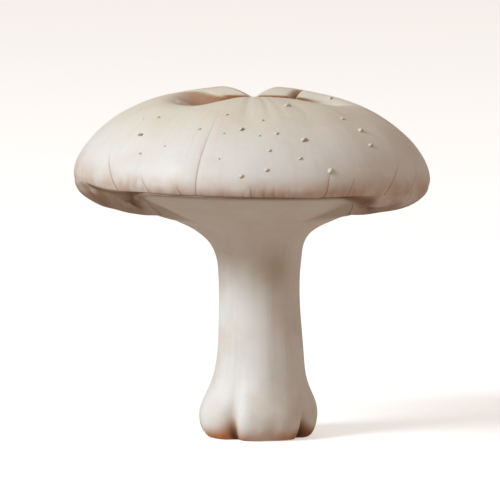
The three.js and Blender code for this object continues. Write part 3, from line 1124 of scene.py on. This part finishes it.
def darken_underside(finish, colour, mottle):
    under = finish.blend(finish.ramp(mottle, 0.42, 0.62), srgb(168, 143, 122), srgb(148, 116, 92))
    flecks = finish.ramp(finish.noise(finish.place(), 420, 3), 0.46, 0.6)
    spotted = finish.calculate("MULTIPLY", finish.mark("spot"), flecks)
    under = finish.blend(spotted, under, srgb(104, 60, 36))
    return finish.blend(finish.mark("under"), colour, under)


def bruise_and_shade_folds(finish, colour, fibres):
    colour = finish.blend(finish.mark("pale"), colour, srgb(248, 243, 232))
    # Orange-brown for the bruises and for the painted shade of the crease, hollow and dimple.
    bruised_and_shaded = finish.blend(fibres, srgb(178, 128, 84), srgb(138, 90, 52))
    return finish.blend(finish.mark("bruise_and_shade"), colour, bruised_and_shaded)


def crack_line_share(finish):
    beside = finish.calculate("ABSOLUTE", finish.mark("crack_side"))
    line = finish.ramp(beside, 0.03, 0.16, 0.85, 0.0)
    border = finish.ramp(beside, 0.1, 0.6, 0.22, 0.0)
    depth = finish.mark("crack_depth")
    return finish.calculate("MULTIPLY", line, depth), finish.calculate("MULTIPLY", border, depth)


def crack_skin(finish, colour, line, border):
    crimped = finish.calculate("MULTIPLY", finish.mark("crimp"), 0.35)
    colour = finish.blend(crimped, colour, srgb(168, 118, 98))
    colour = finish.blend(border, colour, srgb(214, 176, 160))
    return finish.blend(line, colour, srgb(152, 118, 98))


print("the skin has", len(cap.data.attributes), "attributes to draw on")

# %% [markdown]
# ## Putting the skin together
#
# The roughness varies with the mottling, and a fine grain, the fibres and the cracks
# raise and sink the surface a few hundredths of a millimetre.

# %% Skin finish
def skin_finish():
    finish = Finish("mushroom_skin")
    mottle = finish.noise(finish.place(), 110, 5)
    grain = finish.noise(finish.place(), 1500, 3)
    fibres = fibres_round_axis(finish, 26, 45, 4)
    line, border = crack_line_share(finish)
    colour = plain_skin(finish, mottle, fibres)
    colour = tan_and_shade_rim(finish, colour)
    colour = darken_underside(finish, colour, mottle)
    colour = bruise_and_shade_folds(finish, colour, fibres)
    colour = crack_skin(finish, colour, line, border)
    finish.fill(finish.shader.inputs["Base Color"], colour)
    let_light_in(finish, 0.5, SKIN_LIGHT_DEPTH)
    finish.fill(finish.shader.inputs["Roughness"], finish.ramp(mottle, 0.3, 0.7, 0.44, 0.6, False))
    rough = finish.calculate("ADD", finish.calculate("MULTIPLY", fibres, 0.9), grain)
    rough = finish.calculate("SUBTRACT", rough, finish.calculate("MULTIPLY", line, 2.0))
    finish.bump(rough, 0.35, 0.08 * MM)
    print("the skin is made of", len(finish.tree.nodes), "nodes")
    return finish.material


cap.data.materials.append(skin_finish())

# %% [markdown]
# ## The stem's flesh
#
# The stem is whiter than the cap, with longer and stronger fibres. It turns to cream
# towards the veil and tan along the veil's edge. The trimmed foot is orange-brown just
# above the cut, partly browning and partly painted contact shade, and painted dark brown
# shade lies in its furrows and on its right side. The neck carries the cap's painted shadow.

# %% Colours of the flesh
def plain_flesh(finish, mottle, fibres):
    height = finish.add("ShaderNodeSeparateXYZ")
    finish.fill(height.inputs[0], finish.place())
    veilward = finish.ramp(height.outputs["Z"], GROUND + 30 * MM, GROUND + 38 * MM, 0.0, 0.6)
    colour = finish.blend(finish.ramp(mottle, 0.4, 0.7), srgb(240, 237, 233), srgb(230, 221, 209))
    colour = finish.blend(veilward, colour, srgb(232, 219, 200))
    streaks = finish.calculate("MULTIPLY", finish.ramp(fibres, 0.5, 0.75), 0.22)
    return finish.blend(streaks, colour, srgb(219, 207, 193))


def brown_and_shade_foot(finish, colour, mottle):
    # The furrows are tinted darker, partly as painted shade.
    in_furrow = finish.calculate("MULTIPLY", finish.ramp(finish.mark("furrow"), 0.3, 1.9), 0.5)
    colour = finish.blend(in_furrow, colour, srgb(190, 150, 120))
    patches = finish.ramp(mottle, 0.3, 0.6, 0.85, 1.0)
    # Browning with painted contact shade just above the cut.
    bruised_and_shaded = finish.calculate("MULTIPLY", finish.mark("bruise_and_shade"), patches)
    colour = finish.blend(bruised_and_shaded, colour, srgb(200, 122, 52))
    # Dark brown with painted shade in the deepest furrows and on the right side.
    return finish.blend(finish.mark("deep"), colour, srgb(84, 50, 30))


def paint_neck_shadow(finish, colour):
    # The cap's cast shadow on the neck, painted as a tan-grey darkening.
    neck_shadow_share = finish.calculate("MULTIPLY", finish.mark("neck_shadow"), 0.65)
    return finish.blend(neck_shadow_share, colour, srgb(198, 180, 160))


print("the stem has", len(stem.data.attributes), "attributes to draw on")

# %% [markdown]
# ## Putting the flesh together
#
# It is a little rougher than the skin, and its fibres stand out more than its grain.

# %% Flesh finish
def flesh_finish():
    finish = Finish("mushroom_flesh")
    mottle = finish.noise(finish.place(), 120, 5)
    grain = finish.noise(finish.place(), 1300, 3)
    fibres = fibres_round_axis(finish, 9, 60, 5)
    colour = plain_flesh(finish, mottle, fibres)
    colour = finish.blend(finish.mark("edge"), colour, srgb(198, 177, 157))
    colour = brown_and_shade_foot(finish, colour, mottle)
    colour = paint_neck_shadow(finish, colour)
    finish.fill(finish.shader.inputs["Base Color"], colour)
    let_light_in(finish, 0.55, FLESH_LIGHT_DEPTH)
    finish.fill(finish.shader.inputs["Roughness"], finish.ramp(mottle, 0.3, 0.7, 0.5, 0.65, False))
    rough = finish.calculate("ADD", finish.calculate("MULTIPLY", fibres, 2.0), grain)
    finish.bump(rough, 0.3, 0.08 * MM)
    print("the flesh is made of", len(finish.tree.nodes), "nodes")
    return finish.material


stem.data.materials.append(flesh_finish())

# %% [markdown]
# ## The scales' finish
#
# Dried skin is duller than fresh skin. The brown and painted shade of each scale's steep
# lower right edge come from the mesh, broken up by a fine grain.

# %% Scale finish
def scale_finish():
    finish = Finish("scale_skin")
    grain = finish.noise(finish.place(), 2500, 3)
    # Brown and painted shade along each scale's steep edge.
    brown_and_shade = finish.calculate("MULTIPLY", finish.mark("brown_and_shade"), finish.ramp(grain, 0.3, 0.7, 0.6, 1.0))
    colour = finish.blend(brown_and_shade, srgb(232, 220, 204), srgb(136, 102, 76))
    finish.fill(finish.shader.inputs["Base Color"], colour)
    let_light_in(finish, 0.6, SCALE_LIGHT_DEPTH)
    finish.bump(grain, 0.4, 0.05 * MM)
    print("the scales are made of", len(finish.tree.nodes), "nodes")
    return finish.material


scale_piece.data.materials.append(scale_finish())

# %% [markdown]
# ## Joining the frame
#
# The whole mushroom is one body, so all three pieces ride on `root`. The cap and the
# stem stand in for the plain solids of the same place, and the scales lie on the cap.
# The stem's veil reaches up to about 2 mm further out here than it does in its solid.

# %% Ride
for piece, node, slot in ((cap, "cap", "cap_skin"), (stem, "stem", "stem_flesh")):
    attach(piece, "root")
    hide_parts(node)
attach(scale_piece, "root")
print("riding on root:", cap.name, stem.name, scale_piece.name)

# %% [markdown]
# ## A pale stage
#
# The mushroom stands on a plain pale floor with a pale wall far around it, so that a
# low camera sees no more than these. Both glow, and both are hidden from the diffuse and
# glossy rays that would carry their light to the mushroom.

# %% Floor and wall
FLOOR_HALF_WIDTH = 2.0
WALL_SIDES, WALL_RADIUS, WALL_HEIGHT = 64, 1.9, 2.5


def add_stage(name, corners, faces, base, glow, strength):
    mesh = bpy.data.meshes.new(name)
    mesh.from_pydata(corners, [], faces)
    finish = Finish("pale_" + name)
    finish.shader.inputs["Base Color"].default_value = (base, base, base, 1)
    finish.shader.inputs["Roughness"].default_value = 0.9
    finish.shader.inputs["Emission Color"].default_value = glow
    finish.shader.inputs["Emission Strength"].default_value = strength
    mesh.materials.append(finish.material)
    stage = add_object(name, mesh)
    stage.visible_diffuse = False
    stage.visible_glossy = False
    return stage


def wall_corners(height):
    turns = np.linspace(0, 2 * math.pi, WALL_SIDES, endpoint=False)
    return [(WALL_RADIUS * math.cos(turn), WALL_RADIUS * math.sin(turn), height) for turn in turns]


ends = (-FLOOR_HALF_WIDTH, FLOOR_HALF_WIDTH)
floor_corners = [(ends[0], ends[0], GROUND), (ends[1], ends[0], GROUND),
                 (ends[1], ends[1], GROUND), (ends[0], ends[1], GROUND)]
add_stage("floor", floor_corners, [(0, 1, 2, 3)], 0.9, (1, 1, 1, 1), 0.5)

wall_faces = []
for side in range(WALL_SIDES):
    after = (side + 1) % WALL_SIDES
    wall_faces.append((side, after, after + WALL_SIDES, side + WALL_SIDES))
backdrop = add_stage("backdrop", wall_corners(GROUND) + wall_corners(GROUND + WALL_HEIGHT),
                     wall_faces, 0.0, (1, 0.98, 0.96, 1), 0.9)
backdrop.visible_shadow = False
print("the floor is", 2 * FLOOR_HALF_WIDTH, "m wide, the wall", WALL_HEIGHT, "m high")

# %% [markdown]
# ## Soft studio light
#
# One large soft lamp stands high on the left and gives the cap its bright shoulder and
# the stem its shaded right side. A weak warm light from all around, the world's own
# colour, fills the shadows, as pale walls do in a studio.

# %% Lights
KEY_TURN, KEY_RISE, KEY_DISTANCE = -60, 33, 1500 * MM
KEY_SIZE, KEY_WATTS, KEY_COLOUR = 560 * MM, 17.6, (0.805, 0.925, 1.0)
FILL_COLOUR, FILL_STRENGTH = (1, 0.827, 0.704, 1), 0.405
AIM = Vector((-0.25 * MM, 0, GROUND + 31.5 * MM))


def from_aim(turn_degrees, rise_degrees, distance):
    turn, rise = math.radians(turn_degrees), math.radians(rise_degrees)
    level = math.cos(rise)
    return AIM + distance * Vector((math.sin(turn) * level, -math.cos(turn) * level, math.sin(rise)))


def look_at_aim(thing):
    thing.rotation_euler = (AIM - thing.location).to_track_quat("-Z", "Y").to_euler()


def add_key_light():
    lamp = bpy.data.lights.new("key", "AREA")
    lamp.shape = "DISK"
    lamp.size = KEY_SIZE
    lamp.energy = KEY_WATTS
    lamp.color = KEY_COLOUR
    thing = add_object("key", lamp)
    thing.location = from_aim(KEY_TURN, KEY_RISE, KEY_DISTANCE)
    look_at_aim(thing)
    return thing


def add_world():
    world = bpy.data.worlds.new("studio")
    world.use_nodes = True
    background = world.node_tree.nodes["Background"]
    background.inputs["Color"].default_value = FILL_COLOUR
    background.inputs["Strength"].default_value = FILL_STRENGTH
    bpy.context.scene.world = world


key_light = add_key_light()
add_world()
bpy.context.scene.view_settings.view_transform = "Standard"
print("the lamp hangs", round(key_light.location.z, 2), "m up")

# %% [markdown]
# ## The camera
#
# It looks almost level from the front, a few degrees down, from far enough away that
# the perspective is as mild as in a product picture. The focal length follows from the
# distance and the width that the view should take in.

# %% Camera
CAMERA_RISE = 5.5
CAMERA_DISTANCE = 900 * MM
VIEW_WIDTH = 84.5 * MM

lens = bpy.data.cameras.new("camera")
lens.sensor_width = 36
lens.lens = lens.sensor_width * CAMERA_DISTANCE / VIEW_WIDTH
lens.clip_end = 10
camera = add_object("camera", lens)
camera.location = from_aim(0, CAMERA_RISE, CAMERA_DISTANCE)
look_at_aim(camera)
bpy.context.scene.camera = camera
print("focal length", round(lens.lens), "mm")
